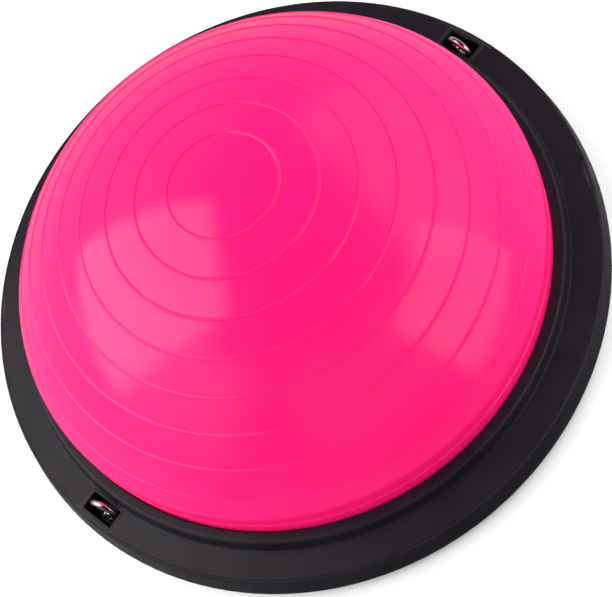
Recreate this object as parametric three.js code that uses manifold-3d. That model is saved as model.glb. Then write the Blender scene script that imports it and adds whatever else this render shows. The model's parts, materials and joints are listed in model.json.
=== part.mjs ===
// Balance dome trainer: an inflated half ball clamped to a round base by a ring cover.
// Millimetres, +Z up. The origin is the middle of the footprint, on the floor.
// A hand ring stands in a pocket of the cover at +X and another at -X.
import * as THREE from 'three';
import { mergeVertices } from 'three/addons/utils/BufferGeometryUtils.js';
import Module from 'manifold-3d';

const wasm = await Module();
wasm.setup();

// ---- driving sizes ----
const baseRadius = 300;         // rim of the base plate
const footLift = 7;             // floor to the underside of the plate
const plateThickness = 5;
const rimThickness = 3.5;       // lip of the plate below the skirt
const skirtRise = 24;           // underside of the plate to the top edge of the skirt
const skirtInset = 5;           // how far the skirt leans in over its height
const topRise = 2.4;            // top edge of the skirt up to the foot of the collar
const crestRise = 39;           // underside of the plate to the top of the collar
const coverWall = 3;
const coverEdge = 4.6;          // from the top edge of the skirt in to the pocket frame
const collarRoom = 15.6;        // from the pocket frame in to the ball
const collarMargin = 1.2;       // from the pocket frame in to the foot of the collar
const collarLean = 3.5;         // how far the face of the collar leans in
const edgeRound = 2.5;
const collarRound = 2.5;
const lipRound = 2;             // inner edge of the collar, beside the ball
const clampWall = 4;            // inner wall of the cover, which holds the bead down

const domeRise = 217;           // underside of the plate to the top of the ball
const wallRise = 68;            // underside of the plate to the start of the shoulder
const shoulderRadius = 24;
const skinThickness = 3;
const beadWidth = 10;
const beadThickness = 5.7;
const ribCount = 8;             // raised grip ribs around the top
const ribFirst = 50;            // arc from the top to the first rib
const ribPitch = 33;
const ribWidth = 3;
const ribHeight = 0.9;

const pullRingDiameter = 30;
const rodDiameter = 6.2;
const swingRoom = 1.7;          // free space left on each side of a hand ring at rest
const endRoom = 2;              // free space at each end of a hand ring
const cupWall = 1.6;
const cupFloor = 2.4;
const cupFlange = 1.6;          // thickness of the frame around the pocket
const flangeWidth = 1;          // how far the frame reaches past the cup wall
const flangeProud = 0.5;        // the frame stands this far out of the cover
const cornerRadius = 3;
const wellCorner = 2;           // corners of the pocket itself
const cupLift = 1.6;            // underside of the plate to the underside of a cup
const ringLean = 6;             // degrees a hand ring leans to the ball when it rests
const ringTurn = { right: -4, left: 12 };  // degrees each ring is turned about the upright

const eyeDiameter = 13.4;
const eyeWire = 2.4;
const shankDiameter = 4;
const eyeFootDiameter = 9;
const eyeFootHeight = 0.8;
const washerThickness = 0.8;
const washerDiameter = 12;
const nutThickness = 3.2;
const nutAcrossFlats = 7;
const threadEnd = 1;            // the shank ends this far under its nut

const screwCount = 12;
const screwDiameter = 4;
const screwLength = 16;
const headDiameter = 8;
const headThickness = 2.2;
const headInset = 0.4;          // the screw heads and the plug sit this far up in the plate
const driveLength = 4.8;        // cross recess of a screw head
const driveWidth = 1.1;
const driveDepth = 1.2;
const bossWall = 2.8;
const counterbore = 2.9;        // depth of the screw head's seat

const footCount = 8;
const footDiameter = 24;
const footSeat = 2;             // depth of a foot's seat in the plate
const footInset = 12;           // rim of the plate to the nearest edge of a foot
const footChamfer = 1;

const valveHole = 26;           // hole of the plate around the valve
const valveDiameter = 14;
const valveBore = 8;
const valveLength = 16;
const valveFlange = 32;
const valveFlangeThickness = 2;
const plugLength = 14;          // stem of the plug
const plugHead = 17;
const plugHeadThickness = 2.5;
const plugChamfer = 0.6;
const plugTip = 1;              // bevel at the tip of the stem
const grooveCount = 4;
const grooveFirst = 60;         // middle of the plate to its first groove
const groovePitch = 45;
const grooveWidth = 5;
const grooveDepth = 1.4;
const rimChamfer = 1.2;
const locatorWidth = 3;         // ridge of the plate around the bead
const locatorHeight = 4;

const gap = 0.3;                // between pieces that touch
const seam = 0.4;               // visible line between cover and plate
const slip = 0.4;               // clearance around what is pushed in
const past = 1;                 // a cutter runs this far past the face it opens
const overlap = 0.5;            // joined solids run this far into each other
const cutterHeight = 40;        // cutters over a slope are this tall
const turns = 48;               // facets round the large pieces
const midTurns = 20;            // round the valve, the washers and the feet
const smallTurns = 12;          // round screws, bosses and small holes
const ringTurns = 28;           // round a hand ring
const ringSection = 8;          // round its rod
const eyeSection = 6;
const roundSteps = 2;           // facets over a small rounded edge
const shoulderSteps = 3;
const crownSteps = 5;           // facets over the inside of the crown

// ---- heights and radii that follow from them ----
const plateBottom = footLift;
const plateTop = plateBottom + plateThickness;
const rimTop = plateBottom + rimThickness;
const skirtBottom = rimTop + seam;
const skirtTop = plateBottom + skirtRise;
const crestTop = plateBottom + crestRise;
const topInner = skirtTop + topRise;

const ringRadius = (pullRingDiameter - rodDiameter) / 2;   // to the middle of the rod
const leanSine = Math.sin(THREE.MathUtils.degToRad(ringLean));
const turnSine = Math.sin(THREE.MathUtils.degToRad(Math.max(...Object.values(ringTurn))));
// how far the middle of the rod gets from the upright over the eye, leaning and turned
const ringReach = ringRadius * (leanSine + Math.hypot(leanSine, turnSine));
const pocketWidth = rodDiameter + 2 * (ringReach + swingRoom);   // radial
const pocketLength = pullRingDiameter + 2 * endRoom;      // tangential
const cupWidth = pocketWidth + 2 * cupWall;
const cupLength = pocketLength + 2 * cupWall;
const frameWidth = cupWidth + 2 * flangeWidth;
const frameLength = cupLength + 2 * flangeWidth;

const skirtFoot = baseRadius - seam;
const skirtEdge = baseRadius - skirtInset;
const frameOuter = skirtEdge - coverEdge;
const pocketRadius = frameOuter - frameWidth / 2;
const domeRadius = frameOuter - frameWidth - collarRoom;
const lipInner = domeRadius + slip;
const collarFoot = frameOuter - frameWidth - collarMargin;
const coverSlope = Math.atan2(topRise, skirtEdge - collarFoot);
const pocketTop = skirtTop + (skirtEdge - pocketRadius) * Math.tan(coverSlope);

const bladderBottom = plateTop + gap;
const beadTop = bladderBottom + beadThickness;
const beadRadius = domeRadius + beadWidth;

// ---- solids ----
function solidOf(geometry) {
  geometry.deleteAttribute('normal');
  geometry.deleteAttribute('uv');
  const merged = mergeVertices(geometry, 1e-4);
  const index = Array.from(merged.index.array);
  const faces = [];
  for (let i = 0; i < index.length; i += 3) {
    const [a, b, c] = index.slice(i, i + 3);
    if (a !== b && b !== c && c !== a) faces.push(a, b, c);
  }
  return new wasm.Manifold(new wasm.Mesh({
    numProp: 3,
    vertProperties: new Float32Array(merged.attributes.position.array),
    triVerts: new Uint32Array(faces),
  }));
}

function geometryOf(solid) {
  const mesh = solid.getMesh();
  const geometry = new THREE.BufferGeometry();
  geometry.setAttribute('position', new THREE.BufferAttribute(mesh.vertProperties, 3));
  geometry.setIndex(new THREE.BufferAttribute(mesh.triVerts, 1));
  geometry.computeVertexNormals();
  return geometry;
}

// A profile of [radius, height] points, counter-clockwise, turned about Z.
function turned(profile, segments) {
  const points = profile.map(([radius, height]) => new THREE.Vector2(radius, height));
  return solidOf(new THREE.LatheGeometry(points, segments).rotateX(Math.PI / 2));
}

// Points of an arc, both ends included; angles in radians from the outward direction.
function arc(centreRadius, centreHeight, radius, from, to, steps) {
  return Array.from({ length: steps + 1 }, (_, i) => {
    const angle = from + (to - from) * i / steps;
    return [centreRadius + radius * Math.cos(angle), centreHeight + radius * Math.sin(angle)];
  });
}

function roundedEdge(centreRadius, centreHeight, radius, from, to) {
  return arc(centreRadius, centreHeight, radius, from, to, roundSteps);
}

function rod(radius, bottom, top, segments = smallTurns) {
  return turned([[0, bottom], [radius, bottom], [radius, top], [0, top]], segments);
}

// An upright block with rounded corners: x is its width, y its length.
function block(width, length, corner, bottom, top, steps = 3) {
  const x = width / 2 - corner;
  const y = length / 2 - corner;
  const outline = new THREE.Shape();
  outline.moveTo(x + corner, -y);
  outline.absarc(x, y, corner, 0, Math.PI / 2);
  outline.absarc(-x, y, corner, Math.PI / 2, Math.PI);
  outline.absarc(-x, -y, corner, Math.PI, 1.5 * Math.PI);
  outline.absarc(x, -y, corner, 1.5 * Math.PI, 2 * Math.PI);
  const options = { depth: top - bottom, bevelEnabled: false, curveSegments: steps };
  return solidOf(new THREE.ExtrudeGeometry(outline, options)).translate([0, 0, bottom]);
}

function torus(diameter, wire, around, section) {
  return solidOf(new THREE.TorusGeometry((diameter - wire) / 2, wire / 2, section, around));
}

// Evenly spaced places on a circle.
function placesOn(count, radius, start) {
  return Array.from({ length: count }, (_, i) => {
    const angle = start + 2 * Math.PI * i / count;
    return { x: radius * Math.cos(angle), y: radius * Math.sin(angle) };
  });
}

// ---- finishes ----
function finish(color, roughness, metalness = 0) {
  return new THREE.MeshStandardMaterial({ color, roughness, metalness });
}
const looks = {
  skin: () => finish(0xff2d87, 0.28),
  cover: () => finish(0x232226, 0.5),
  plate: () => finish(0x1d1c1f, 0.6),
  chrome: () => finish(0xd8d9db, 0.12, 1),
  zinc: () => finish(0x9fa2a6, 0.35, 1),
  rubber: () => finish(0x161616, 0.85),
  plug: () => finish(0xe9e7e2, 0.5),
};

const trainer = new THREE.Group();

function addPart(name, solid, material, parent = trainer) {
  const mesh = new THREE.Mesh(geometryOf(solid), material);
  mesh.name = name;
  parent.add(mesh);
  return mesh;
}

// ---- the ball: a crown, a shoulder, an upright wall and a bead under the cover ----
const apex = plateBottom + domeRise;
const wallTop = plateBottom + wallRise;
const shoulderCentre = domeRadius - shoulderRadius;
const crownSpan = apex - wallTop;
const crownRadius = (shoulderCentre ** 2 + crownSpan ** 2 - shoulderRadius ** 2)
  / (2 * (crownSpan - shoulderRadius));
const crownCentre = apex - crownRadius;
const crownTilt = Math.atan2(wallTop - crownCentre, shoulderCentre);

function crownPoint(arcLength, lift) {
  const angle = Math.PI / 2 - arcLength / crownRadius;
  const radius = crownRadius + lift;
  return [radius * Math.cos(angle), crownCentre + radius * Math.sin(angle)];
}

function ribsFromEdgeToTop() {
  const crownArc = (Math.PI / 2 - crownTilt) * crownRadius;
  const points = [];
  for (let i = ribCount - 1; i >= 0; i -= 1) {
    const at = ribFirst + i * ribPitch;
    if (at + ribWidth > crownArc) continue;
    points.push(crownPoint(at + ribWidth / 2, 0));
    points.push(crownPoint(at, ribHeight));
    points.push(crownPoint(at - ribWidth / 2, 0));
  }
  return points;
}

function bladder() {
  const skin = skinThickness;
  const innerCrown = arc(0, crownCentre, crownRadius - skin, Math.PI / 2, crownTilt, crownSteps);
  const innerRadius = shoulderRadius - skin;
  const innerShoulder = arc(shoulderCentre, wallTop, innerRadius, crownTilt, 0, roundSteps);
  const outerShoulder = arc(shoulderCentre, wallTop, shoulderRadius, 0, crownTilt, shoulderSteps);
  const holeRadius = valveDiameter / 2 + gap;
  return turned([
    [0, apex - skin],
    ...innerCrown.slice(1),
    ...innerShoulder.slice(1),
    [domeRadius - skin, bladderBottom + skin],
    [holeRadius, bladderBottom + skin],
    [holeRadius, bladderBottom],
    [beadRadius, bladderBottom],
    [beadRadius, beadTop],
    [domeRadius, beadTop],
    ...outerShoulder,
    ...ribsFromEdgeToTop(),
    [0, apex],
  ], turns);
}
addPart('dome_bladder', bladder(), looks.skin());

// ---- the cover: collar round the ball, top and skirt, open underneath ----
const cupBottom = plateBottom + cupLift;
const floorTop = cupBottom + cupFloor;
const clampBottom = beadTop + gap;
const bossBottom = plateTop + gap;
const screwSeat = plateBottom + counterbore;
const screwHeadTop = plateBottom + headInset + headThickness;
const screwHole = screwDiameter / 2 + slip;
const screwPlaces = placesOn(screwCount, pocketRadius, Math.PI / screwCount);

function coverShell() {
  const skirtLean = Math.atan2(skirtFoot - skirtEdge, skirtTop - skirtBottom);
  const slopeNormal = Math.PI / 2 - coverSlope;
  const wallOuter = lipInner + clampWall;
  const collarTop = collarFoot - collarLean;
  return turned([
    [skirtFoot, skirtBottom],
    ...roundedEdge(skirtEdge - edgeRound, skirtTop - edgeRound, edgeRound, skirtLean, slopeNormal),
    [collarFoot, topInner],
    [collarTop, crestTop - collarRound],
    [collarTop - collarRound, crestTop],
    [lipInner + lipRound, crestTop],
    [lipInner, crestTop - lipRound],
    [lipInner, clampBottom],
    [wallOuter, clampBottom],
    [wallOuter, crestTop - coverWall],
    [collarTop - collarRound, crestTop - coverWall],
    [collarFoot - coverWall, topInner - coverWall],
    [skirtEdge - coverWall, skirtTop - coverWall - edgeRound / 2],
    [skirtFoot - coverWall, skirtBottom],
    [skirtFoot, skirtBottom],
  ], turns);
}

// The space under the cover's top, which the screw bosses fill up to.
function underTop() {
  const inner = collarFoot;
  const sink = coverWall / 2;
  return turned([
    [inner, bossBottom],
    [skirtEdge, bossBottom],
    [skirtEdge, skirtTop - sink],
    [inner, topInner - sink],
    [inner, bossBottom],
  ], turns);
}

// Turns a solid to the slope of the cover's top and moves it to a pocket.
function onSlope(solid) {
  const degrees = THREE.MathUtils.radToDeg(coverSlope);
  return solid.rotate([0, degrees, 0]).translate([pocketRadius, 0, pocketTop]);
}

function frameBlock(clearance, bottom, top) {
  const width = (frameWidth + 2 * clearance) / Math.cos(coverSlope);
  return onSlope(block(width, frameLength + 2 * clearance, cornerRadius + clearance, bottom, top));
}

function cupWell(clearance, bottom, top) {
  const width = cupWidth + 2 * clearance;
  const length = cupLength + 2 * clearance;
  return block(width, length, cornerRadius + clearance, bottom, top).translate([pocketRadius, 0, 0]);
}

const bothSides = [0, 180];

function cover() {
  const bosses = screwPlaces.map(({ x, y }) => (
    rod(screwDiameter / 2 + bossWall, bossBottom, crestTop).translate([x, y, 0])));
  const holes = screwPlaces.map(({ x, y }) => (
    rod(screwHole, bossBottom - past, screwHeadTop + screwLength + past).translate([x, y, 0])));
  const openings = bothSides.flatMap((side) => [
    cupWell(slip, bossBottom, crestTop + past).rotate([0, 0, side]),
    frameBlock(slip, flangeProud - cupFlange - gap, cutterHeight).rotate([0, 0, side]),
  ]);
  const pillars = wasm.Manifold.union(bosses).intersect(underTop());
  const body = coverShell().add(pillars);
  return body.subtract(wasm.Manifold.union([...holes, ...openings]));
}
addPart('ring_cover', cover(), looks.cover());

// ---- the base plate: a disc with a lip under the skirt and grip grooves underneath ----
function plateProfile() {
  const discRadius = skirtFoot - coverWall - 2 * slip;
  const locatorInner = beadRadius + slip;
  const locatorOuter = locatorInner + locatorWidth;
  const grooves = Array.from({ length: grooveCount }, (_, i) => {
    const middle = grooveFirst + i * groovePitch;
    return [
      [middle - grooveWidth / 2, plateBottom],
      [middle, plateBottom + grooveDepth],
      [middle + grooveWidth / 2, plateBottom],
    ];
  });
  return [
    [valveHole / 2, plateBottom],
    ...grooves.flat(),
    [baseRadius - rimChamfer, plateBottom],
    [baseRadius, plateBottom + rimChamfer],
    [baseRadius, rimTop],
    [discRadius, rimTop],
    [discRadius, plateTop],
    [locatorOuter, plateTop],
    [locatorOuter, plateTop + locatorHeight],
    [locatorInner, plateTop + locatorHeight],
    [locatorInner, plateTop],
    [valveHole / 2, plateTop],
    [valveHole / 2, plateBottom],
  ];
}

const footRadius = baseRadius - footInset - footDiameter / 2;
const footPlaces = placesOn(footCount, footRadius, Math.PI / footCount);

function basePlate() {
  const cuts = screwPlaces.flatMap(({ x, y }) => [
    rod(headDiameter / 2 + slip, plateBottom - past, screwSeat).translate([x, y, 0]),
    rod(screwHole, plateBottom, plateTop + past).translate([x, y, 0]),
  ]);
  const seatRadius = footDiameter / 2 + slip;
  const seats = footPlaces.map(({ x, y }) => (
    rod(seatRadius, plateBottom - past, plateBottom + footSeat, midTurns).translate([x, y, 0])));
  const windows = bothSides.map((side) => (
    cupWell(slip, plateBottom - past, plateTop + past).rotate([0, 0, side])));
  const disc = turned(plateProfile(), turns);
  return disc.subtract(wasm.Manifold.union([...cuts, ...seats, ...windows]));
}
addPart('base_plate', basePlate(), looks.plate());

// ---- fasteners and feet ----
function coverScrew() {
  const bottom = plateBottom + headInset;
  const head = rod(headDiameter / 2, bottom, screwHeadTop);
  const shank = rod(screwDiameter / 2, screwHeadTop - overlap, screwHeadTop + screwLength);
  const slots = [[driveLength, driveWidth], [driveWidth, driveLength]].map(([x, y]) => (
    solidOf(new THREE.BoxGeometry(x, y, 2 * driveDepth)).translate([0, 0, bottom])));
  return head.add(shank).subtract(wasm.Manifold.union(slots));
}
screwPlaces.forEach(({ x, y }, i) => {
  const screw = addPart(`cover_screw_${i + 1}`, coverScrew(), looks.zinc());
  screw.position.set(x, y, 0);
});

function foot() {
  const radius = footDiameter / 2;
  const top = plateBottom + footSeat - gap;
  const profile = [[0, 0], [radius - footChamfer, 0], [radius, footChamfer], [radius, top], [0, top]];
  return turned(profile, midTurns);
}
footPlaces.forEach(({ x, y }, i) => {
  addPart(`rubber_foot_${i + 1}`, foot(), looks.rubber()).position.set(x, y, 0);
});

// ---- the air valve in the floor of the ball, and its pull-out plug ----
const plugBottom = plateBottom + headInset;
const plugShoulder = plugBottom + plugHeadThickness;
const valveBottom = plugShoulder + gap;
const valveSeat = bladderBottom + skinThickness + gap;

function valveBody() {
  const outer = valveDiameter / 2;
  const inner = valveBore / 2;
  return turned([
    [inner, valveBottom],
    [outer, valveBottom],
    [outer, valveSeat],
    [valveFlange / 2, valveSeat],
    [valveFlange / 2, valveSeat + valveFlangeThickness],
    [outer, valveSeat + valveFlangeThickness],
    [outer, valveBottom + valveLength],
    [inner, valveBottom + valveLength],
    [inner, valveBottom],
  ], midTurns);
}
addPart('valve_body', valveBody(), looks.rubber());

function valvePlug() {
  const stem = valveBore / 2 - gap;
  return turned([
    [0, plugBottom],
    [plugHead / 2 - plugChamfer, plugBottom],
    [plugHead / 2, plugBottom + plugChamfer],
    [plugHead / 2, plugShoulder],
    [stem, plugShoulder],
    [stem, plugShoulder + plugLength - plugTip],
    [stem - plugTip, plugShoulder + plugLength],
    [0, plugShoulder + plugLength],
  ], midTurns);
}
addPart('valve_plug', valvePlug(), looks.plug());

// ---- one pocket at each side: cup, eye bolt, washer, nut and hand ring ----
const eyeRadius = (eyeDiameter - eyeWire) / 2;
const eyeFoot = floorTop + gap;
const eyeHeight = eyeFoot + eyeFootHeight + eyeRadius;
const ringFoot = eyeHeight - eyeRadius + (eyeWire + rodDiameter) / 2 + gap;   // middle of the rod
const washerTop = cupBottom - gap;
const nutTop = washerTop - washerThickness - gap;
const nutBottom = nutTop - nutThickness;
const shankBottom = nutBottom - threadEnd;
const shankHole = shankDiameter / 2 + slip;

function pocketCup() {
  const above = onSlope(block(2 * cupWidth, 2 * cupLength, cornerRadius, 0, cutterHeight));
  const well = cupWell(0, cupBottom, crestTop).subtract(above);
  const frame = frameBlock(0, flangeProud - cupFlange, flangeProud);
  const hollow = block(pocketWidth, pocketLength, wellCorner, floorTop, crestTop + past);
  const drain = rod(shankHole, cupBottom - past, floorTop + past);
  const cuts = hollow.add(drain).translate([pocketRadius, 0, 0]);
  return well.add(frame).subtract(cuts).translate([-pocketRadius, 0, 0]);
}

function eyeBolt() {
  const loop = torus(eyeDiameter, eyeWire, midTurns, eyeSection);
  const seat = rod(eyeFootDiameter / 2, eyeFoot, eyeFoot + eyeFootHeight);
  const shank = rod(shankDiameter / 2, shankBottom, eyeFoot + overlap);
  return loop.rotate([90, 0, 0]).translate([0, 0, eyeHeight]).add(seat).add(shank);
}

function washer() {
  const inner = shankHole;
  const outer = washerDiameter / 2;
  const bottom = washerTop - washerThickness;
  const profile = [[inner, bottom], [outer, bottom], [outer, washerTop], [inner, washerTop]];
  return turned([...profile, profile[0]], midTurns);
}

function nut() {
  const inner = shankDiameter / 2 + gap;
  const outer = nutAcrossFlats / Math.sqrt(3);
  const hexagon = rod(outer, nutBottom, nutTop, 6);
  return hexagon.subtract(rod(inner, nutBottom - past, nutTop + past));
}

// Stands in the foot of the eye, leans to the ball and is turned a little about the upright.
function handRing(turn) {
  return torus(pullRingDiameter, rodDiameter, ringTurns, ringSection)
    .rotate([90, 0, 90])
    .translate([0, 0, ringRadius])
    .rotate([0, -ringLean, 0])
    .rotate([0, 0, turn])
    .translate([0, 0, ringFoot]);
}

for (const [side, degrees] of [['right', 0], ['left', 180]]) {
  const pocket = new THREE.Group();
  const angle = THREE.MathUtils.degToRad(degrees);
  pocket.position.set(pocketRadius * Math.cos(angle), pocketRadius * Math.sin(angle), 0);
  pocket.rotation.z = angle;
  trainer.add(pocket);
  addPart(`pocket_cup_${side}`, pocketCup(), looks.cover(), pocket);
  addPart(`eye_bolt_${side}`, eyeBolt(), looks.chrome(), pocket);
  addPart(`eye_washer_${side}`, washer(), looks.zinc(), pocket);
  addPart(`eye_nut_${side}`, nut(), looks.zinc(), pocket);
  addPart(`hand_ring_${side}`, handRing(ringTurn[side]), looks.chrome(), pocket);
}

export default trainer;
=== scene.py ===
import json
import math

import bpy
import numpy as np
from mathutils import Matrix, Vector


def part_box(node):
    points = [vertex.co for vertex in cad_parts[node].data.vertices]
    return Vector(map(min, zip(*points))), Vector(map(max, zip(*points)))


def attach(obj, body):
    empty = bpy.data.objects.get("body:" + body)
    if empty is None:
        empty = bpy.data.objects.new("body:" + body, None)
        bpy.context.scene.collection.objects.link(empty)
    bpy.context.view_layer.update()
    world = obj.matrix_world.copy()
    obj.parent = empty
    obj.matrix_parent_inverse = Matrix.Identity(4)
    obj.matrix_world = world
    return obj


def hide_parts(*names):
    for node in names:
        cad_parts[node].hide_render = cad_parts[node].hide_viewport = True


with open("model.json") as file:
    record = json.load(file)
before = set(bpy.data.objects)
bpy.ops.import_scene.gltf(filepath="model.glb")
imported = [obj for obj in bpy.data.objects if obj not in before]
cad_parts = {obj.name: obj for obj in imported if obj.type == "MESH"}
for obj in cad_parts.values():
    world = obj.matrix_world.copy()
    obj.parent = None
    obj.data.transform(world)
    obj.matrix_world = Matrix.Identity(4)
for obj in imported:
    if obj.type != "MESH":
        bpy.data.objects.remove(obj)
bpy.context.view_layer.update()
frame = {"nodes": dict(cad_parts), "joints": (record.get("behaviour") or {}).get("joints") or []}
mm = 0.001

plateLow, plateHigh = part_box("base_plate")
coverLow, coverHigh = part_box("ring_cover")
domeLow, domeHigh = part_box("dome_bladder")
eyeLow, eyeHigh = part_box("eye_bolt_right")
plugLow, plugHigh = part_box("valve_plug")
valveLow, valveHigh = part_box("valve_body")
cupLow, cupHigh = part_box("pocket_cup_right")
domeWall = 252 * mm                           # the dome where it leaves the cover
pocketRadius = (eyeLow.x + eyeHigh.x) / 2     # middle of each pocket
plateBottom = plateLow.z
collarTop = coverHigh.z
sides = {"right": 0.0, "left": math.pi}       # the two pockets


# A mesh of the points that the faces use; if it is inside out, every face is turned.
def addPiece(name, points, faces, finish, body, nodes, sharpAngle=38):
    quads = np.concatenate([np.asarray(f) for f in faces])
    used, flat = np.unique(quads, return_inverse=True)
    points, quads = points[used], flat.reshape(quads.shape)
    a, b, c, d = (points[quads[:, k]] for k in range(4))
    volume = (np.cross(b, c) * a).sum() + (np.cross(c, d) * a).sum()
    if volume < 0:
        quads = quads[:, ::-1]
    same = quads == np.roll(quads, -1, 1)
    order = (np.argmax(same, 1)[:, None] + 1 + np.arange(3)) % 4
    triangles = np.take_along_axis(quads, order, 1)[same.sum(1) == 1]
    whole = quads[same.sum(1) == 0]
    mesh = bpy.data.meshes.new(name)
    mesh.from_pydata(points.tolist(), [], whole.tolist() + triangles.tolist())
    mesh.validate()
    mesh.shade_smooth()
    mesh.set_sharp_from_angle(angle=math.radians(sharpAngle))
    piece = bpy.data.objects.new(name, mesh)
    bpy.context.scene.collection.objects.link(piece)
    mesh.materials.append(finish)
    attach(piece, body)
    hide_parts(*nodes)
    return piece


# Each cell of a grid of point numbers becomes one four-sided face.
def gridQuads(index):
    cells = [index[:-1, :-1], index[:-1, 1:], index[1:, 1:], index[1:, :-1]]
    return np.stack(cells, -1).reshape(-1, 4)


# Repeats the first column of a grid after its last, so the grid closes on itself.
def closeRound(index):
    return np.concatenate([index, index[:, :1]], 1)


# Each point of a profile of radius and height goes round Z: x is the radius times the
# cosine of the angle, y is the radius times its sine. A point on the axis is one point, and
# a profile that ends where it starts closes on itself.
def turnedGrid(profile, segments, first=0):
    angles = np.arange(segments) * 2 * math.pi / segments
    radius, height = profile[:, :1], profile[:, 1:]
    points = np.stack([radius * np.cos(angles), radius * np.sin(angles),
                       height + 0 * angles], -1).reshape(-1, 3)
    index = np.arange(len(points)).reshape(len(profile), segments)
    onAxis = profile[:, 0] < 1e-9
    index[onAxis] = index[onAxis, :1]
    if np.allclose(profile[0], profile[-1]):
        index[-1] = index[0]
    return points, gridQuads(closeRound(index)) + first


# A path through corners of (radius, height, rounding): straight runs cut into even
# steps, with each corner replaced by the arc that touches both of its runs. It also
# gives each point's place along the list of corners.
def roundedPath(corners, closed=False, steps=6, spacing=1.0):
    places = np.array([c[:2] for c in corners], float)
    count = len(corners)
    path, along = [], []
    for i, (_, _, rounding) in enumerate(corners):
        here = places[i]
        if not closed and i in (0, count - 1):
            arc = here[None]
        else:
            before, after = places[i - 1] - here, places[(i + 1) % count] - here
            before, after = before / np.linalg.norm(before), after / np.linalg.norm(after)
            half = math.acos(np.clip(before @ after, -1, 1)) / 2
            if rounding <= 0 or half > math.pi / 2 - 1e-3:
                arc = here[None]
            else:
                middle = (before + after) / np.linalg.norm(before + after)
                centre = here + middle * rounding / math.sin(half)
                share = np.linspace(0, 1, steps + 1)[:, None]
                reach = rounding / math.tan(half)
                start, end = here + before * reach - centre, here + after * reach - centre
                swing = math.pi - 2 * half
                arc = (np.sin((1 - share) * swing) * start + np.sin(share * swing) * end)
                arc = centre + arc / math.sin(swing)
        if path:
            run = np.linalg.norm(arc[0] - path[-1][-1])
            share = np.linspace(0, 1, max(2, int(run / spacing) + 2))[1:-1, None]
            path.append(path[-1][-1] + (arc[0] - path[-1][-1]) * share)
            along.append(i - 1 + share[:, 0])
        path.append(arc)
        along.append(i + np.linspace(-1, 1, len(arc)) * 1e-3)
    if closed:
        path.append(path[0][:1])
        along.append(np.array([count]))
    return np.concatenate(path), np.concatenate(along)


# A ring of round rod: the middle of the rod runs round a circle in the plane of the two
# directions, and the section is a circle across it.
def roundTube(centre, sideways, upwards, ringRadius, rodRadius, around, section, first=0):
    sideways, upwards = np.array(sideways, float), np.array(upwards, float)
    across = np.cross(sideways, upwards)
    turn = (np.arange(around) * 2 * math.pi / around)[:, None, None]
    rodAngle = (np.arange(section) * 2 * math.pi / section)[None, :, None]
    outward = np.cos(turn) * sideways + np.sin(turn) * upwards
    points = np.array(centre) + outward * (ringRadius + rodRadius * np.cos(rodAngle))
    points = points + across * rodRadius * np.sin(rodAngle)
    index = np.arange(around * section).reshape(around, section)
    index = closeRound(np.concatenate([index, index[:1]], 0))
    return points.reshape(-1, 3), gridQuads(index) + first


# Evenly spaced angles all round, with finer ones across each (middle, half, step).
def angleLines(coarse, clusters):
    lines = np.arange(-math.pi / 2, 1.5 * math.pi - 1e-9, coarse)
    for middle, half, step in clusters:
        gap = (lines - middle + math.pi) % (2 * math.pi) - math.pi
        lines = lines[np.abs(gap) > half + coarse / 3]
        fine = middle + np.linspace(-half, half, 2 * int(round(half / step)) + 1)
        lines = np.concatenate([lines, fine])
    wrapped = (lines + math.pi / 2) % (2 * math.pi) - math.pi / 2
    return np.unique(np.round(wrapped, 9))


# Moves grid points so that a block of cells at each hole takes the outline of a rounded
# rectangle. A point's distance from the block, measured in blocks, fades the move out.
def drawHoles(radius, angle, holes):
    x, y = radius * np.cos(angle), radius * np.sin(angle)
    for hole in holes:
        along = (angle - hole["angle"] + math.pi) % (2 * math.pi) - math.pi
        across = radius - hole["radius"]
        reach = np.maximum(np.abs(across) / hole["blockX"],
                           np.abs(along) / hole["blockAngle"])
        reach = np.maximum(reach, 1e-9)
        edgeRadius = hole["radius"] + across / reach
        edgeAngle = along / reach
        edgeX = edgeRadius * np.cos(edgeAngle) - hole["radius"]
        edgeY = edgeRadius * np.sin(edgeAngle)
        wantX = across / reach / hole["blockX"] * hole["halfX"]
        wantY = along / reach / hole["blockAngle"] * hole["halfY"]
        coreX = np.clip(wantX, hole["corner"] - hole["halfX"], hole["halfX"] - hole["corner"])
        coreY = np.clip(wantY, hole["corner"] - hole["halfY"], hole["halfY"] - hole["corner"])
        spanX, spanY = wantX - coreX, wantY - coreY
        span = np.maximum(np.hypot(spanX, spanY), 1e-12)
        fade = np.clip((hole["fade"] - reach) / (hole["fade"] - 1), 0, 1)
        moveX = fade * (coreX + spanX / span * hole["corner"] - edgeX)
        moveY = fade * (coreY + spanY / span * hole["corner"] - edgeY)
        cos, sin = math.cos(hole["angle"]), math.sin(hole["angle"])
        x = x + moveX * cos - moveY * sin
        y = y + moveX * sin + moveY * cos
    return x, y


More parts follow.
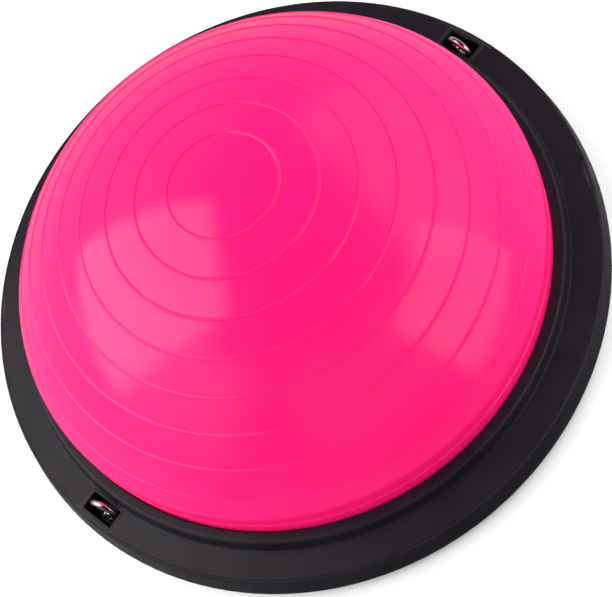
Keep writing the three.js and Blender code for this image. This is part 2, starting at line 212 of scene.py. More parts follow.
# A closed round shell: one grid over the profile and one over the underside, joined at
# both ends. At each hole a block of cells is left out of both, and walls join the two. A
# grid point that a hole moves takes the height of the profile where it lands.
def holedShell(profile, underside, lines, holes):
    radius, angle = np.meshgrid(profile[:, 0], lines, indexing="ij")
    x, y = drawHoles(radius, angle, holes)
    out = np.hypot(x, y)
    near = np.abs(profile[:, 0] - holes[0]["radius"]) < holes[0]["blockX"] * 1.6
    order = np.flatnonzero(near)[np.argsort(profile[near, 0])]
    moved = np.abs(out - radius) > 1e-9

    def heights(surface):
        there = np.interp(out, profile[order, 0], surface[order, 1])
        return np.where(moved, there, surface[:, 1:])

    share = (out + (underside[:, :1] - profile[:, :1])) / out
    top = np.stack([x, y, heights(profile)], -1)
    bottom = np.stack([x * share, y * share, heights(underside)], -1)
    rows, columns = radius.shape
    points = np.concatenate([top.reshape(-1, 3), bottom.reshape(-1, 3)])
    upper = closeRound(np.arange(rows * columns).reshape(rows, columns))
    lower = upper + rows * columns
    keep = np.ones((rows - 1, columns), bool)
    walls = []
    for hole in holes:
        along = (lines - hole["angle"] + math.pi) % (2 * math.pi) - math.pi
        inColumns = np.flatnonzero(np.abs(along) <= hole["blockAngle"] + 1e-7)
        inRows = np.flatnonzero(np.abs(profile[:, 0] - hole["radius"]) <= hole["blockX"] + 1e-9)
        r0, r1, c0, c1 = inRows[0], inRows[-1], inColumns[0], inColumns[-1]
        keep[r0:r1, c0:c1] = False
        rim = np.concatenate([upper[r0, c0:c1], upper[r0:r1, c1],
                              upper[r1, c1:c0:-1], upper[r1:r0:-1, c0]])
        rim = np.concatenate([rim, rim[:1]])
        walls.append(gridQuads(np.stack([rim, rim + rows * columns])))
    upperQuads = gridQuads(upper)[keep.ravel()]
    lowerQuads = gridQuads(lower)[keep.ravel()][:, ::-1]
    firstEdge = gridQuads(np.stack([lower[0], upper[0]]))
    lastEdge = gridQuads(np.stack([upper[-1], lower[-1]]))
    return points, [upperQuads, lowerQuads, firstEdge, lastEdge, *walls]


# A Principled material whose patterns all read Object coordinates, in metres.
class Finish:

    def __init__(self, name, **sockets):
        self.material = bpy.data.materials.new(name)
        self.material.use_nodes = True
        self.tree = self.material.node_tree
        self.shader = self.tree.nodes["Principled BSDF"]
        self.place = self.tree.nodes.new("ShaderNodeTexCoord").outputs["Object"]
        self.normal = None
        for socket, value in sockets.items():
            self.shader.inputs[socket.replace("_", " ")].default_value = value

    def node(self, kind, **inputs):
        made = self.tree.nodes.new(kind)
        for socket, value in inputs.items():
            self.put(made.inputs[socket.replace("_", " ")], value)
        return made

    def put(self, socket, value):
        if isinstance(value, bpy.types.NodeSocket):
            self.tree.links.new(value, socket)
        else:
            socket.default_value = value

    def noise(self, scale, detail=2.0, rough=0.5, place=None):
        made = self.node("ShaderNodeTexNoise", Vector=place or self.place, Scale=scale,
                         Detail=detail, Roughness=rough)
        return made.outputs["Fac"]

    def cells(self, scale):
        made = self.node("ShaderNodeTexVoronoi", Vector=self.place, Scale=scale)
        return made.outputs["Distance"]

    def stretched(self, scale):
        return self.node("ShaderNodeMapping", Vector=self.place, Scale=scale).outputs["Vector"]

    def between(self, source, low, high, fromLow=0.3, fromHigh=0.7):
        made = self.node("ShaderNodeMapRange", Value=source, From_Min=fromLow,
                         From_Max=fromHigh, To_Min=low, To_Max=high)
        return made.outputs["Result"]

    def blend(self, share, first, second):
        made = self.tree.nodes.new("ShaderNodeMix")
        made.data_type = "RGBA"
        self.put(made.inputs["Factor"], share)
        self.put(made.inputs["A"], first)
        self.put(made.inputs["B"], second)
        return made.outputs["Result"]

    # How far a spot stands on a raised edge, from 0 to 1.
    def edges(self, low, high):
        point = self.tree.nodes.new("ShaderNodeNewGeometry").outputs["Pointiness"]
        return self.between(point, 0.0, 1.0, low, high)

    def bump(self, source, depth, strength=1.0):
        made = self.node("ShaderNodeBump", Height=source, Distance=depth, Strength=strength)
        if self.normal:
            self.put(made.inputs["Normal"], self.normal)
        self.normal = made.outputs["Normal"]
        self.put(self.shader.inputs["Normal"], self.normal)

    def paint(self, **sockets):
        for socket, value in sockets.items():
            self.put(self.shader.inputs[socket.replace("_", " ")], value)
        return self


def glossySkin():
    skin = {"deep": (0.97, 0.0075, 0.150, 1), "light": (1.0, 0.0105, 0.165, 1),
            "waviness": 0.3 * mm, "pores": 0.003 * mm}
    made = Finish("dome_skin", IOR=1.45)
    broad = made.noise(7, 3)
    made.paint(Base_Color=made.blend(made.between(broad, 0, 1), skin["deep"], skin["light"]),
               Roughness=made.between(made.noise(12, 2), 0.16, 0.20))
    made.bump(made.noise(4, 0), skin["waviness"])
    made.bump(made.noise(900, 2), skin["pores"], 0.5)
    return made.material


def grainedPlastic(name, dark, light, grainScale, grainDepth, rough):
    wornBrighter, coarseShare, coarseDepth = 2.2, 0.35, 0.7
    made = Finish(name, IOR=1.5, Specular_IOR_Level=0.24)
    grain = made.cells(grainScale)
    cloud = made.noise(19, 5, 0.6)
    worn = made.edges(0.51, 0.56)
    colour = made.blend(made.between(cloud, 0, 1), dark, light)
    rubbed = tuple(c * wornBrighter for c in light[:3]) + (1,)
    made.paint(Base_Color=made.blend(worn, colour, rubbed),
               Roughness=made.between(made.noise(60, 4), rough - 0.06, rough + 0.07))
    made.bump(grain, grainDepth, 0.8)
    made.bump(made.noise(grainScale * coarseShare, 3), grainDepth * coarseDepth, 0.6)
    return made.material


def metalFinish(name, colour, tarnish, rough, scratchScale):
    made = Finish(name, Metallic=1.0)
    cloud = made.noise(90, 5, 0.65)
    scratch = made.noise(scratchScale, 2, 0.5, made.stretched((1, 1, 0.06)))
    made.paint(Base_Color=made.blend(made.between(cloud, 0, 1, 0.5, 0.8), colour, tarnish),
               Roughness=made.between(cloud, rough * 0.75, rough * 1.5))
    made.bump(scratch, 0.01 * mm, 0.5)
    return made.material


def rubberFinish():
    made = Finish("matte_rubber", IOR=1.45)
    dust = made.noise(70, 6, 0.7)
    made.paint(Base_Color=made.blend(made.between(dust, 0, 1, 0.45, 0.75),
                                     (0.010, 0.010, 0.010, 1), (0.028, 0.027, 0.026, 1)),
               Roughness=made.between(dust, 0.72, 0.9))
    made.bump(made.noise(1400, 3), 0.05 * mm, 0.8)
    return made.material


def plugFinish():
    made = Finish("plug_plastic", IOR=1.46, Subsurface_Weight=0.12, Subsurface_Scale=1.5 * mm)
    cloud = made.noise(120, 4)
    made.paint(Base_Color=made.blend(made.between(cloud, 0, 1),
                                     (0.78, 0.765, 0.73, 1), (0.84, 0.83, 0.80, 1)),
               Roughness=made.between(cloud, 0.38, 0.5))
    made.bump(made.noise(1100, 2), 0.02 * mm, 0.6)
    return made.material


finishes = {
    "skin": glossySkin(),
    "cover": grainedPlastic("cover_plastic", (0.0098, 0.0080, 0.0112, 1),
                            (0.0145, 0.0120, 0.0165, 1), 1500, 0.03 * mm, 0.38),
    "plate": grainedPlastic("plate_plastic", (0.0080, 0.0078, 0.0086, 1),
                            (0.0125, 0.0120, 0.0130, 1), 900, 0.07 * mm, 0.55),
    "chrome": metalFinish("ring_chrome", (0.92, 0.92, 0.93, 1), (0.80, 0.79, 0.78, 1), 0.17, 700),
    "eye": metalFinish("eye_chrome", (0.95, 0.95, 0.96, 1), (0.84, 0.83, 0.82, 1), 0.32, 700),
    "zinc": metalFinish("zinc_steel", (0.60, 0.61, 0.63, 1), (0.42, 0.42, 0.41, 1), 0.32, 500),
    "rubber": rubberFinish(),
    "plug": plugFinish(),
}
print("finishes made")


# The profile is a crown arc, a tighter shoulder arc, a nearly upright wall with a
# thicker hem at its foot and a bead under the cover. Each grip rib lifts the crown along
# its normal by a squared cosine of the distance from the rib.
def makeDome():
    dome = {"shoulder": 24 * mm, "wallTop": 75 * mm, "skin": 3 * mm, "hemTop": 62 * mm,
            "hemStep": 0.9 * mm, "beadHeight": 5.7 * mm,
            "ribs": 8, "firstRib": 50 * mm, "ribPitch": 33 * mm, "ribHalf": 1.7 * mm,
            "ribHeight": 0.85 * mm, "hole": 7.3 * mm, "segments": 240}
    apex = domeHigh.z
    wall = domeWall - dome["hemStep"]
    reach = wall - dome["shoulder"]
    rise = apex - dome["wallTop"]
    crown = (reach ** 2 + rise ** 2 - dome["shoulder"] ** 2) / (2 * (rise - dome["shoulder"]))
    centre = apex - crown
    tilt = math.atan2(dome["wallTop"] - centre, reach)
    crownArc = (math.pi / 2 - tilt) * crown
    ribPlaces = dome["firstRib"] + dome["ribPitch"] * np.arange(dome["ribs"])
    nearRib = (ribPlaces[:, None] + np.linspace(-1.3, 1.3, 11) * dome["ribHalf"]).ravel()
    along = np.union1d(np.linspace(0, crownArc, 64), nearRib[nearRib < crownArc])
    away = np.abs(along[:, None] - ribPlaces).min(1) / dome["ribHalf"]
    lift = dome["ribHeight"] * np.cos(np.clip(away, 0, 1) * math.pi / 2) ** 2
    angle = math.pi / 2 - along / crown
    crownPath = np.stack([(crown + lift) * np.cos(angle),
                          centre + (crown + lift) * np.sin(angle)], -1)
    turn = np.linspace(tilt, 0, 14)[1:]
    shoulder = np.stack([reach + dome["shoulder"] * np.cos(turn),
                         dome["wallTop"] + dome["shoulder"] * np.sin(turn)], -1)
    hem, step = dome["hemTop"], dome["hemStep"]
    foot, _ = roundedPath([
        (wall, dome["wallTop"], 0),
        (wall, hem + step, 0.5 * mm),
        (wall + step, hem, 0.45 * mm),
        (wall + step, domeLow.z + dome["beadHeight"], 0.4 * mm),
        (domeHigh.x, domeLow.z + dome["beadHeight"], 0.8 * mm),
        (domeHigh.x, domeLow.z, 0.8 * mm),
        (dome["hole"], domeLow.z, 0.4 * mm),
        (dome["hole"], domeLow.z + dome["skin"], 0.4 * mm),
        (wall - dome["skin"], domeLow.z + dome["skin"], 2 * mm),
        (wall - dome["skin"], dome["wallTop"], 0)], steps=4, spacing=12 * mm)
    inside = np.linspace(0, 1, 22)[1:]
    inTurn = tilt * inside[:6] / inside[5]
    inShoulder = np.stack([reach + (dome["shoulder"] - dome["skin"]) * np.cos(inTurn),
                           dome["wallTop"]
                           + (dome["shoulder"] - dome["skin"]) * np.sin(inTurn)], -1)
    inAngle = tilt + (math.pi / 2 - tilt) * inside
    inCrown = np.stack([(crown - dome["skin"]) * np.cos(inAngle),
                        centre + (crown - dome["skin"]) * np.sin(inAngle)], -1)
    profile = np.concatenate([crownPath, shoulder, foot[1:], inShoulder, inCrown])
    profile[[0, -1], 0] = 0
    points, quads = turnedGrid(profile, dome["segments"])
    piece = addPiece("air_dome", points, [quads], finishes["skin"], "base",
                     ["dome_bladder"], sharpAngle=60)


makeDome()
print("dome made")


coverShape = {"skirtEdge": 295 * mm, "skirtTop": 31 * mm, "topRise": 2.4 * mm,
              "collarLean": 3.5 * mm, "edgeRound": 2.5 * mm, "collarRound": 3.5 * mm,
              "footRound": 2.2 * mm, "lipRound": 1.6 * mm, "wall": 3 * mm, "clampWall": 4 * mm,
              "clampBottom": 18.3 * mm, "margin": 1.2 * mm, "gap": 0.45 * mm,
              "lineAt": 2.1 * mm, "line": 0.36 * mm, "lineDepth": 0.32 * mm,
              "coarse": math.radians(1.25), "fine": math.radians(0.3)}
collarFoot = cupLow.x - coverShape["margin"]
topSlope = coverShape["topRise"] / (coverShape["skirtEdge"] - collarFoot)


# The cover's top rises evenly from the skirt's edge in to the collar.
def topHeight(radius):
    return coverShape["skirtTop"] + (coverShape["skirtEdge"] - radius) * topSlope


# The profile climbs the skirt, crosses a fine line at its top edge, runs in along the
# top, climbs the collar's face, and ends in the lip and the wall that holds the bead. The
# underside is the profile moved by a distance that changes evenly between its corners.
def makeCover():
    c = coverShape
    foot, lip = coverHigh.x, domeWall + 0.4 * mm
    lineAt, line = c["skirtEdge"] - c["lineAt"], c["line"]
    corners = [
        (foot, coverLow.z, 0),
        (foot - 0.15 * mm, coverLow.z + 0.7 * mm, 0.5 * mm),
        (c["skirtEdge"], c["skirtTop"], c["edgeRound"]),
        (lineAt, topHeight(lineAt), 0.12 * mm),
        (lineAt - line, topHeight(lineAt) - c["lineDepth"], 0.1 * mm),
        (lineAt - 2 * line, topHeight(lineAt - 2 * line), 0.12 * mm),
        (collarFoot, topHeight(collarFoot), c["footRound"]),
        (collarFoot - c["collarLean"], collarTop, c["collarRound"]),
        (lip, collarTop - 0.5 * mm, c["lipRound"]),
        (lip, c["clampBottom"], 0)]
    wall = c["wall"]
    inward = [-wall, -wall, -wall, 0, 0, 0, 0, -wall, c["clampWall"], c["clampWall"]]
    downward = [0, 0, -wall, -wall, -wall, -wall, -wall, -wall, -wall, 0]
    profile, along = roundedPath(corners, steps=6, spacing=1.5 * mm)
    number = np.arange(len(corners))
    moved = np.stack([np.interp(along, number, inward), np.interp(along, number, downward)], -1)
    shape = {"radius": pocketRadius, "halfX": (cupHigh.x - cupLow.x) / 2 + c["gap"],
             "halfY": cupHigh.y + c["gap"], "corner": cupShape["corner"] + c["gap"], "fade": 1.3}
    topRows = profile[(along > 5.01) & (along < 6), 0]
    offsets = np.sort(np.abs(topRows - pocketRadius))
    shape["blockX"] = offsets[offsets < shape["halfX"]].max()
    half = c["fine"] * round(shape["halfY"] / pocketRadius / c["fine"])
    holes = [dict(shape, angle=angle, blockAngle=half) for angle in sides.values()]
    lines = angleLines(c["coarse"], [(angle, half * 1.4, c["fine"]) for angle in sides.values()])
    points, faces = holedShell(profile, profile + moved, lines, holes)
    addPiece("cover_ring", points, faces, finishes["cover"], "base", ["ring_cover"])


cupShape = {"wellX": 8.81 * mm, "wellY": 17 * mm, "wellCorner": 2 * mm, "wall": 1.6 * mm,
            "floor": 2.4 * mm, "floorRound": 1.5 * mm, "corner": 3 * mm, "flange": 1.1 * mm,
            "proud": 0.45 * mm, "shankHole": 2.4 * mm, "frameRound": 0.5 * mm,
            "mouthRound": 0.8 * mm, "mouthCorner": 2.4 * mm, "wellLift": 6 * mm,
            "holeMargin": 2 * mm, "footRound": 0.5 * mm}


# Each point is a corner's centre plus the corner radius times a direction; halfX, halfY
# and corner may be columns, so one call gives the outline of every section.
def roundedOutline(halfX, halfY, corner, arcSteps=9):
    turn = np.linspace(0, math.pi / 2, arcSteps + 1)
    turns = np.concatenate([turn + k * math.pi / 2 for k in range(4)])
    signX = np.repeat([1, -1, -1, 1], arcSteps + 1)
    signY = np.repeat([1, 1, -1, -1], arcSteps + 1)
    x = signX * (halfX - corner) + corner * np.cos(turns)
    y = signY * (halfY - corner) + corner * np.sin(turns)
    return x, y


# Sections go from the frame's outer edge over its top, down the well, across the floor to
# the shank's hole and back up outside. Each is a rounded outline; the frame's sections lie
# on the slope of the cover's top, and the others are level.
def makeCup(side):
    c = cupShape
    frameX, frameY = (cupHigh.x - cupLow.x) / 2, cupHigh.y
    top, floorTop = topHeight(pocketRadius), cupLow.z + c["floor"]
    wellX, wellY, hole = c["wellX"], c["wellY"], c["shankHole"]
    turn = np.linspace(0, math.pi / 2, 5)
    rounding, mouth, foot = c["frameRound"], c["mouthRound"], c["floorRound"]
    outerX, outerY, edge = wellX + c["wall"], wellY + c["wall"], c["footRound"]
    ring = hole + c["holeMargin"]
    rows = [(frameX, frameY, c["corner"], -c["flange"], 1),
            (frameX, frameY, c["corner"], c["proud"] - rounding, 1)]
    rows += [(frameX - rounding * (1 - math.cos(t)), frameY - rounding * (1 - math.cos(t)),
              c["corner"], c["proud"] - rounding * (1 - math.sin(t)), 1) for t in turn[1:]]
    rows += [(wellX + mouth * (1 - math.sin(t)), wellY + mouth * (1 - math.sin(t)),
              c["mouthCorner"], c["proud"] - mouth * (1 - math.cos(t)), 1) for t in turn]
    rows += [(wellX, wellY, c["wellCorner"], floorTop + foot + c["wellLift"], 0)]
    rows += [(wellX - foot * (1 - math.cos(t)), wellY - foot * (1 - math.cos(t)),
              c["wellCorner"], floorTop + foot * (1 - math.sin(t)), 0) for t in turn]
    rows += [(ring, ring, ring, floorTop, 0),
             (hole, hole, hole, floorTop, 0), (hole, hole, hole, cupLow.z, 0),
             (outerX - edge, outerY - edge, c["corner"], cupLow.z, 0),
             (outerX, outerY, c["corner"], cupLow.z + edge, 0),
             (outerX, outerY, c["corner"], -c["flange"], 1)]
    table = np.array(rows + rows[:1])
    x, y = roundedOutline(table[:, 0:1], table[:, 1:2], table[:, 2:3])
    onSlope = top - x * topSlope + table[:, 3:4]
    z = np.where(table[:, 4:5] > 0, onSlope, table[:, 3:4])
    turned = sides[side]
    across, along = pocketRadius + x, y
    points = np.stack([across * math.cos(turned) - along * math.sin(turned),
                       across * math.sin(turned) + along * math.cos(turned), z], -1)
    index = np.arange(z.size).reshape(z.shape)
    index[-1] = index[0]
    addPiece("pocket_liner_" + side, points.reshape(-1, 3), [gridQuads(closeRound(index))],
             finishes["cover"], "base", ["pocket_cup_" + side], sharpAngle=50)


# The eye is a round tube ring that stands upright over a rounded seat and its shank.
def makeEye(side):
    eye = {"loop": 5.5 * mm, "wire": 1.2 * mm, "seat": 4.5 * mm, "seatHeight": 0.8 * mm,
           "shank": 2 * mm, "lift": 0.3 * mm, "dome": 0.2 * mm, "around": 48, "section": 20}
    turned = sides[side]
    middle = np.array([pocketRadius * math.cos(turned), pocketRadius * math.sin(turned), 0])
    centre = middle + (0, 0, eyeHigh.z - eye["loop"] - eye["wire"])
    points, quads = roundTube(centre, (math.cos(turned), math.sin(turned), 0), (0, 0, 1),
                              eye["loop"], eye["wire"], eye["around"], eye["section"])
    seatBottom = cupLow.z + cupShape["floor"] + eye["lift"]
    seatTop = seatBottom + eye["seatHeight"]
    seat, _ = roundedPath([
        (0, eyeLow.z, 0), (eye["shank"], eyeLow.z, 0.4 * mm), (eye["shank"], seatBottom, 0),
        (eye["seat"], seatBottom, 0.2 * mm), (eye["seat"], seatTop, 0.5 * mm),
        (0, seatTop + eye["dome"], 0)], spacing=3 * mm)
    seatPoints, seatQuads = turnedGrid(seat, 32, first=len(points))
    addPiece("eye_" + side, np.concatenate([points, seatPoints + middle]), [quads, seatQuads],
             finishes["eye"], "base", ["eye_bolt_" + side])


# A ring of round rod that stands on its joint, in the plane of the joint's axis and a
# direction that leans from the upright to the dome.
def makeHandRing(side):
    ring = {"radius": 11.9 * mm, "rod": 3.1 * mm, "lean": math.radians(6), "around": 112,
            "section": 40}
    joint = next(j for j in frame["joints"] if j["name"] == "hand_ring_" + side + "_swing")
    axis = np.array(joint["axis"])
    axis = axis / np.linalg.norm(axis)
    upright = np.array([0, 0, 1.0])
    leaning = math.cos(ring["lean"]) * upright - math.sin(ring["lean"]) * np.cross(axis, upright)
    centre = np.array(joint["pos_m"]) + ring["radius"] * leaning
    points, quads = roundTube(centre, axis, leaning, ring["radius"], ring["rod"],
                              ring["around"], ring["section"])
    addPiece("pull_ring_" + side, points, [quads], finishes["chrome"], "ring_" + side,
             ["hand_ring_" + side])


makeCover()
print("cover made")
for side in sides:
    makeCup(side)
    makeEye(side)
    makeHandRing(side)
print("pockets and hand rings made")


screwAngles = math.pi / 12 + np.arange(12) * math.pi / 6
feet = 8


# The underside is level, with four shallow grooves: each lifts the surface by a share of
# its depth that falls evenly to nothing at its edges. The rim is rounded and thinner than
# the rest, and the top is level. Windows for the pockets and round holes for the screws go
# through it.
def makePlate():
    plate = {"thickness": 5 * mm, "rimThickness": 3.5 * mm, "grooves": 4, "firstGroove": 60 * mm,
             "pitch": 45 * mm, "halfGroove": 2.5 * mm, "grooveDepth": 1.4 * mm, "hole": 13 * mm,
             "rimRound": 1.2 * mm, "screwHole": 4.4 * mm, "clearance": 0.4 * mm,
             "innerEnd": 262 * mm, "windowCorner": 3.4 * mm, "coarse": math.radians(2.5)}
    rim = plateHigh.x
    grooves = plate["firstGroove"] + plate["pitch"] * np.arange(plate["grooves"])
    nearGroove = (grooves[:, None] + np.linspace(-1.2, 1.2, 9) * plate["halfGroove"]).ravel()
    radius = np.union1d(np.linspace(plate["hole"], plate["innerEnd"], 40), nearGroove)
    screwRows = pocketRadius + np.linspace(-1, 1, 11) * plate["screwHole"]
    windowX = cupShape["wellX"] + cupShape["wall"] + plate["clearance"]
    windowRows = pocketRadius + np.array([-1.3, -1.12, -1, -0.86, -0.7, -0.56]) * windowX
    radius = np.concatenate([radius, windowRows, screwRows, 2 * pocketRadius - windowRows[::-1]])
    away = np.abs(radius[:, None] - grooves).min(1) / plate["halfGroove"]
    level = plateBottom + plate["grooveDepth"] * np.clip(1 - away, 0, 1)
    edge, along = roundedPath([
        (radius[-1] + 1 * mm, plateBottom, 0), (rim, plateBottom, plate["rimRound"]),
        (rim, plateBottom + plate["rimThickness"], 0.4 * mm),
        (rim - 1.2 * mm, plateBottom + plate["rimThickness"], 0)], spacing=1.5 * mm)
    profile = np.concatenate([np.stack([radius, level], -1), edge])
    flat = np.stack([radius, np.full(len(radius), plateBottom + plate["thickness"])], -1)
    back = edge + np.stack([np.interp(along, [0, 1, 2, 3], [0, -4.5 * mm, -4.5 * mm, -3.3 * mm]),
                            np.interp(along, [0, 1, 2, 3], [5 * mm, 5 * mm, 1.5 * mm, 0])], -1)
    hole = {"radius": pocketRadius, "halfX": plate["screwHole"], "halfY": plate["screwHole"],
            "corner": plate["screwHole"] * 0.999, "blockX": plate["screwHole"], "fade": 1.5,
            "blockAngle": plate["screwHole"] / pocketRadius}
    windowY = cupShape["wellY"] + cupShape["wall"] + plate["clearance"]
    window = {"radius": pocketRadius, "halfX": windowX, "halfY": windowY,
              "corner": plate["windowCorner"], "blockX": windowX, "fade": 1.3,
              "blockAngle": windowY / pocketRadius}
    holes = [dict(window, angle=angle) for angle in sides.values()]
    holes += [dict(hole, angle=angle) for angle in screwAngles]
    reach = window["blockAngle"]
    clusters = [(angle, reach, reach / 10) for angle in sides.values()]
    clusters += [(angle, hole["blockAngle"], hole["blockAngle"] / 5) for angle in screwAngles]
    points, faces = holedShell(profile, np.concatenate([flat, back]),
                               angleLines(plate["coarse"], clusters), holes)
    addPiece("base_disc", points, faces, finishes["plate"], "base", ["base_plate"])


# A screw head is a polar grid: its height rises with the square of the radius, and the
# cross recess sinks it where either arm of the cross covers the point, with soft edges.
def makeScrews():
    screw = {"head": 4 * mm, "crown": 0.4 * mm, "armHalf": 0.55 * mm, "armLength": 2.4 * mm,
             "recess": 1.2 * mm, "soft": 0.28 * mm, "shank": 2 * mm, "headHeight": 2.2 * mm,
             "faceShare": 0.97, "faceRings": 20, "rimLift": 0.3 * mm, "segments": 64}
    for number in range(len(screwAngles)):
        low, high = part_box(f"cover_screw_{number + 1}")
        headTop = low.z + screw["headHeight"]
        faceRadius = np.linspace(0, screw["head"] * screw["faceShare"], screw["faceRings"])
        face = np.stack([faceRadius, np.full(screw["faceRings"], low.z)], -1)
        body, _ = roundedPath([
            (screw["head"], low.z + screw["rimLift"], 0), (screw["head"], headTop, 0.2 * mm),
            (screw["shank"], headTop, 0.2 * mm), (screw["shank"], high.z, 0.5 * mm),
            (0, high.z, 0)], spacing=4 * mm)
        body[-1, 0] = 0
        points, quads = turnedGrid(np.concatenate([face, body]), screw["segments"])
        x, y, z = points.T
        out = np.minimum(np.hypot(x, y) / screw["head"], 1)
        arms = [np.clip((screw["armHalf"] - np.abs(a)) / screw["soft"] + 0.5, 0, 1)
                * np.clip((screw["armLength"] - np.abs(b)) / screw["soft"] + 0.5, 0, 1)
                for a, b in ((x, y), (y, x))]
        onFace = z < low.z + 0.1 * mm
        sunk = screw["crown"] * out ** 2 * 0.5 + screw["recess"] * np.maximum(*arms)
        points[:, 2] = z + np.where(onFace, sunk, 0)
        middle = np.array([(low.x + high.x) / 2, (low.y + high.y) / 2, 0])
        addPiece(f"screw_{number + 1}", points + middle, [quads], finishes["zinc"], "base",
                 [f"cover_screw_{number + 1}"])


# A foot is a turned profile: rounded edges, and two shallow rings cut into its sole.
def makeFeet():
    foot = {"round": 1.4 * mm, "ringDepth": 0.5 * mm, "ringShares": (0.34, 0.64),
            "ringMouth": 0.9 * mm, "ringFloor": 0.5 * mm, "segments": 72}
    mouth, flat = foot["ringMouth"], foot["ringFloor"]
    for number in range(feet):
        low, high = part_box(f"rubber_foot_{number + 1}")
        radius, depth = (high.x - low.x) / 2, foot["ringDepth"]
        corners = [(0, low.z, 0)]
        for share in foot["ringShares"]:
            corners += [(radius * share - mouth, low.z, 0.3 * mm),
                        (radius * share - flat, low.z + depth, 0.2 * mm),
                        (radius * share + flat, low.z + depth, 0.2 * mm),
                        (radius * share + mouth, low.z, 0.3 * mm)]
        corners += [(radius, low.z, foot["round"]), (radius, high.z, 0.4 * mm), (0, high.z, 0)]
        profile, _ = roundedPath(corners, spacing=2.5 * mm, steps=5)
        points, quads = turnedGrid(profile, foot["segments"])
        middle = np.array([(low.x + high.x) / 2, (low.y + high.y) / 2, 0])
        addPiece(f"foot_{number + 1}", points + middle, [quads], finishes["rubber"], "base",
                 [f"rubber_foot_{number + 1}"])


# The valve is a closed turned loop with a bore; the plug is a turned head and stem.
def makeValve():
    valve = {"bore": 4 * mm, "tube": 7 * mm, "flangeBottom": 15.6 * mm, "flange": 2 * mm,
             "stemGap": 0.3 * mm, "headHeight": 2.5 * mm, "dish": 0.5 * mm, "segments": 64}
    bottom, top, flangeAt = valveLow.z, valveHigh.z, valve["flangeBottom"]
    loop, _ = roundedPath([
        (valve["bore"], bottom, 0.5 * mm), (valve["tube"], bottom, 0.6 * mm),
        (valve["tube"], flangeAt, 0.4 * mm), (valveHigh.x, flangeAt, 0.4 * mm),
        (valveHigh.x, flangeAt + valve["flange"], 0.5 * mm),
        (valve["tube"], flangeAt + valve["flange"], 0.6 * mm),
        (valve["tube"], top, 0.6 * mm), (valve["bore"], top, 0.5 * mm)],
        closed=True, spacing=4 * mm)
    points, quads = turnedGrid(loop, valve["segments"])
    addPiece("valve_sleeve", points, [quads], finishes["rubber"], "base", ["valve_body"])
    head, stem = plugHigh.x, valve["bore"] - valve["stemGap"]
    shoulder, dish = plugLow.z + valve["headHeight"], plugLow.z + valve["dish"]
    profile, _ = roundedPath([
        (0, dish, 0), (head * 0.55, dish, 0.8 * mm),
        (head * 0.68, plugLow.z, 0.6 * mm), (head, plugLow.z, 0.7 * mm),
        (head, shoulder, 0.4 * mm), (stem, shoulder, 0.5 * mm),
        (stem, plugHigh.z - 1 * mm, 0.6 * mm), (stem - 1 * mm, plugHigh.z, 0.4 * mm),
        (0, plugHigh.z, 0)], spacing=2 * mm)
    points, quads = turnedGrid(profile, valve["segments"])
    addPiece("pull_plug", points, [quads], finishes["plug"], "plug", ["valve_plug"])


makePlate()
makeScrews()
makeFeet()
makeValve()
for side in sides:
    for kind in ("eye_washer_", "eye_nut_"):
        carried = frame["nodes"][kind + side].data
        carried.materials.clear()
        carried.materials.append(finishes["zinc"])
print("plate, screws, feet and valve made")


def aim(thing, place, target):
    thing.location = place
    thing.rotation_mode = "QUATERNION"
    thing.rotation_quaternion = (Vector(target) - Vector(place)).to_track_quat("-Z", "Y")


# A flat panel that faces the dome from a direction, as bright as the radiance given.
def addSoftbox(name, azimuth, elevation, distance, width, height, radiance, glossy=True):
    light = bpy.data.lights.new(name, "AREA")
    light.shape = "RECTANGLE"
    light.size, light.size_y = width, height
    light.energy = radiance * math.pi * width * height
    panel = bpy.data.objects.new(name, light)
    bpy.context.scene.collection.objects.link(panel)
    a, e = math.radians(azimuth), math.radians(elevation)
    direction = Vector((math.cos(a) * math.cos(e), math.sin(a) * math.cos(e), math.sin(e)))
    aim(panel, direction * distance + Vector((0, 0, 0.1)), (0, 0, 0.1))
    panel.visible_glossy = glossy


softboxes = [
    ("left_softbox", 135, 42, 1.5, 1.3, 1.7, 2.0, True),
    ("right_softbox", -62, 20, 1.5, 1.1, 1.0, 1.3, True),
    ("far_fill", 95, 30, 1.9, 2.4, 1.4, 1.74, False),
    ("west_fill", 165, 30, 1.9, 2.2, 1.5, 3.7, False),
    ("east_fill", -10, 30, 1.9, 2.2, 1.5, 4.9, False),
    ("near_fill", -105, 30, 2.0, 2.2, 1.3, 1.1, False),
]
for softbox in softboxes:
    addSoftbox(*softbox)


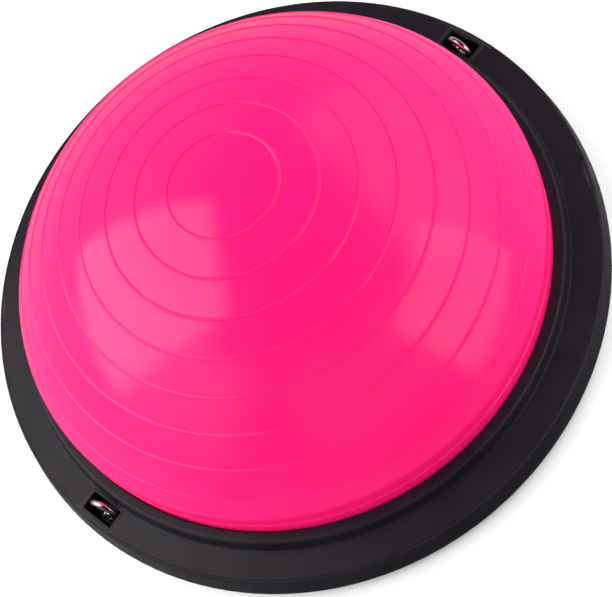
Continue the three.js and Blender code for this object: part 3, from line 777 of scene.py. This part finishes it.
# The sky is brightest at the horizon and falls evenly to nearly dark overhead. It is also
# darker on the camera's side, by how far a direction lies that way. The camera itself sees
# white past the floor.
def makeWorld():
    studio = {"horizon": 0.36, "zenith": 0.03, "backdrop": 1.0, "nearShare": 0.12,
              "away": (0.31, 0.95, 0), "darkFrom": 0.75, "nearSide": -0.6, "farSide": 0.3}
    world = bpy.data.worlds.new("studio")
    world.use_nodes = True
    tree = world.node_tree
    glow = tree.nodes["Background"]
    glow.inputs["Color"].default_value = (1, 1, 1, 1)
    direction = tree.nodes.new("ShaderNodeTexCoord").outputs["Generated"]
    height = tree.nodes.new("ShaderNodeSeparateXYZ")
    tree.links.new(direction, height.inputs[0])
    fall = tree.nodes.new("ShaderNodeMapRange")
    tree.links.new(height.outputs["Z"], fall.inputs["Value"])
    fall.inputs["From Max"].default_value = studio["darkFrom"]
    fall.inputs["To Min"].default_value = studio["horizon"]
    fall.inputs["To Max"].default_value = studio["zenith"]
    facing = tree.nodes.new("ShaderNodeVectorMath")
    facing.operation = "DOT_PRODUCT"
    tree.links.new(direction, facing.inputs[0])
    facing.inputs[1].default_value = studio["away"]
    share = tree.nodes.new("ShaderNodeMapRange")
    tree.links.new(facing.outputs["Value"], share.inputs["Value"])
    share.inputs["From Min"].default_value = studio["nearSide"]
    share.inputs["From Max"].default_value = studio["farSide"]
    share.inputs["To Min"].default_value = studio["nearShare"]
    level = tree.nodes.new("ShaderNodeMath")
    level.operation = "MULTIPLY"
    tree.links.new(fall.outputs["Result"], level.inputs[0])
    tree.links.new(share.outputs["Result"], level.inputs[1])
    tree.links.new(level.outputs[0], glow.inputs["Strength"])
    seen = tree.nodes.new("ShaderNodeBackground")
    seen.inputs["Color"].default_value = (1, 1, 1, 1)
    seen.inputs["Strength"].default_value = studio["backdrop"]
    path = tree.nodes.new("ShaderNodeLightPath")
    mix = tree.nodes.new("ShaderNodeMixShader")
    tree.links.new(path.outputs["Is Camera Ray"], mix.inputs[0])
    tree.links.new(glow.outputs[0], mix.inputs[1])
    tree.links.new(seen.outputs[0], mix.inputs[2])
    tree.links.new(mix.outputs[0], tree.nodes["World Output"].inputs[0])
    bpy.context.scene.world = world


def makeFloor():
    floor = {"half": 1.6, "height": -0.3 * mm, "colour": (0.93, 0.93, 0.93, 1)}
    made = Finish("floor_paint", Specular_IOR_Level=0.15)
    made.paint(Base_Color=made.blend(made.noise(3, 4), floor["colour"], (0.95, 0.95, 0.95, 1)),
               Roughness=made.between(made.noise(8, 3), 0.65, 0.8))
    half = floor["half"]
    mesh = bpy.data.meshes.new("studio_floor")
    level = floor["height"]
    mesh.from_pydata([(-half, -half, level), (half, -half, level), (half, half, level),
                      (-half, half, level)], [], [(0, 1, 2, 3)])
    mesh.materials.append(made.material)
    piece = bpy.data.objects.new("studio_floor", mesh)
    bpy.context.scene.collection.objects.link(piece)
    piece.visible_glossy = False


# The camera looks down at the dome's side, is rolled about its own view line, and is
# turned about Z, which puts one pocket low on the left and the other high on the right.
def makeCamera():
    view = {"roll": 36.7, "elevation": 62.9, "distance": 1.4616, "lens": 89.9,
            "right": -0.0006, "up": -0.02064, "turn": -17.75}
    roll, elevation = math.radians(view["roll"]), math.radians(view["elevation"])
    back = Vector((0, -math.cos(elevation), math.sin(elevation)))
    up = Vector((0, math.sin(elevation), math.cos(elevation)))
    right = Vector((1, 0, 0))
    place = (back * view["distance"] + right * view["right"] + up * view["up"]
             + Vector((0, 0, plateBottom)))
    across = right * math.cos(roll) - up * math.sin(roll)
    above = right * math.sin(roll) + up * math.cos(roll)
    axes = Matrix((across, above, back)).transposed().to_4x4()
    data = bpy.data.cameras.new("camera")
    data.lens = view["lens"]
    camera = bpy.data.objects.new("camera", data)
    bpy.context.scene.collection.objects.link(camera)
    turn = Matrix.Rotation(math.radians(view["turn"]), 4, "Z")
    camera.matrix_world = turn @ Matrix.Translation(place) @ axes
    bpy.context.scene.camera = camera


makeWorld()
makeFloor()
makeCamera()
bpy.context.scene.view_settings.view_transform = "Standard"
print("stage made")
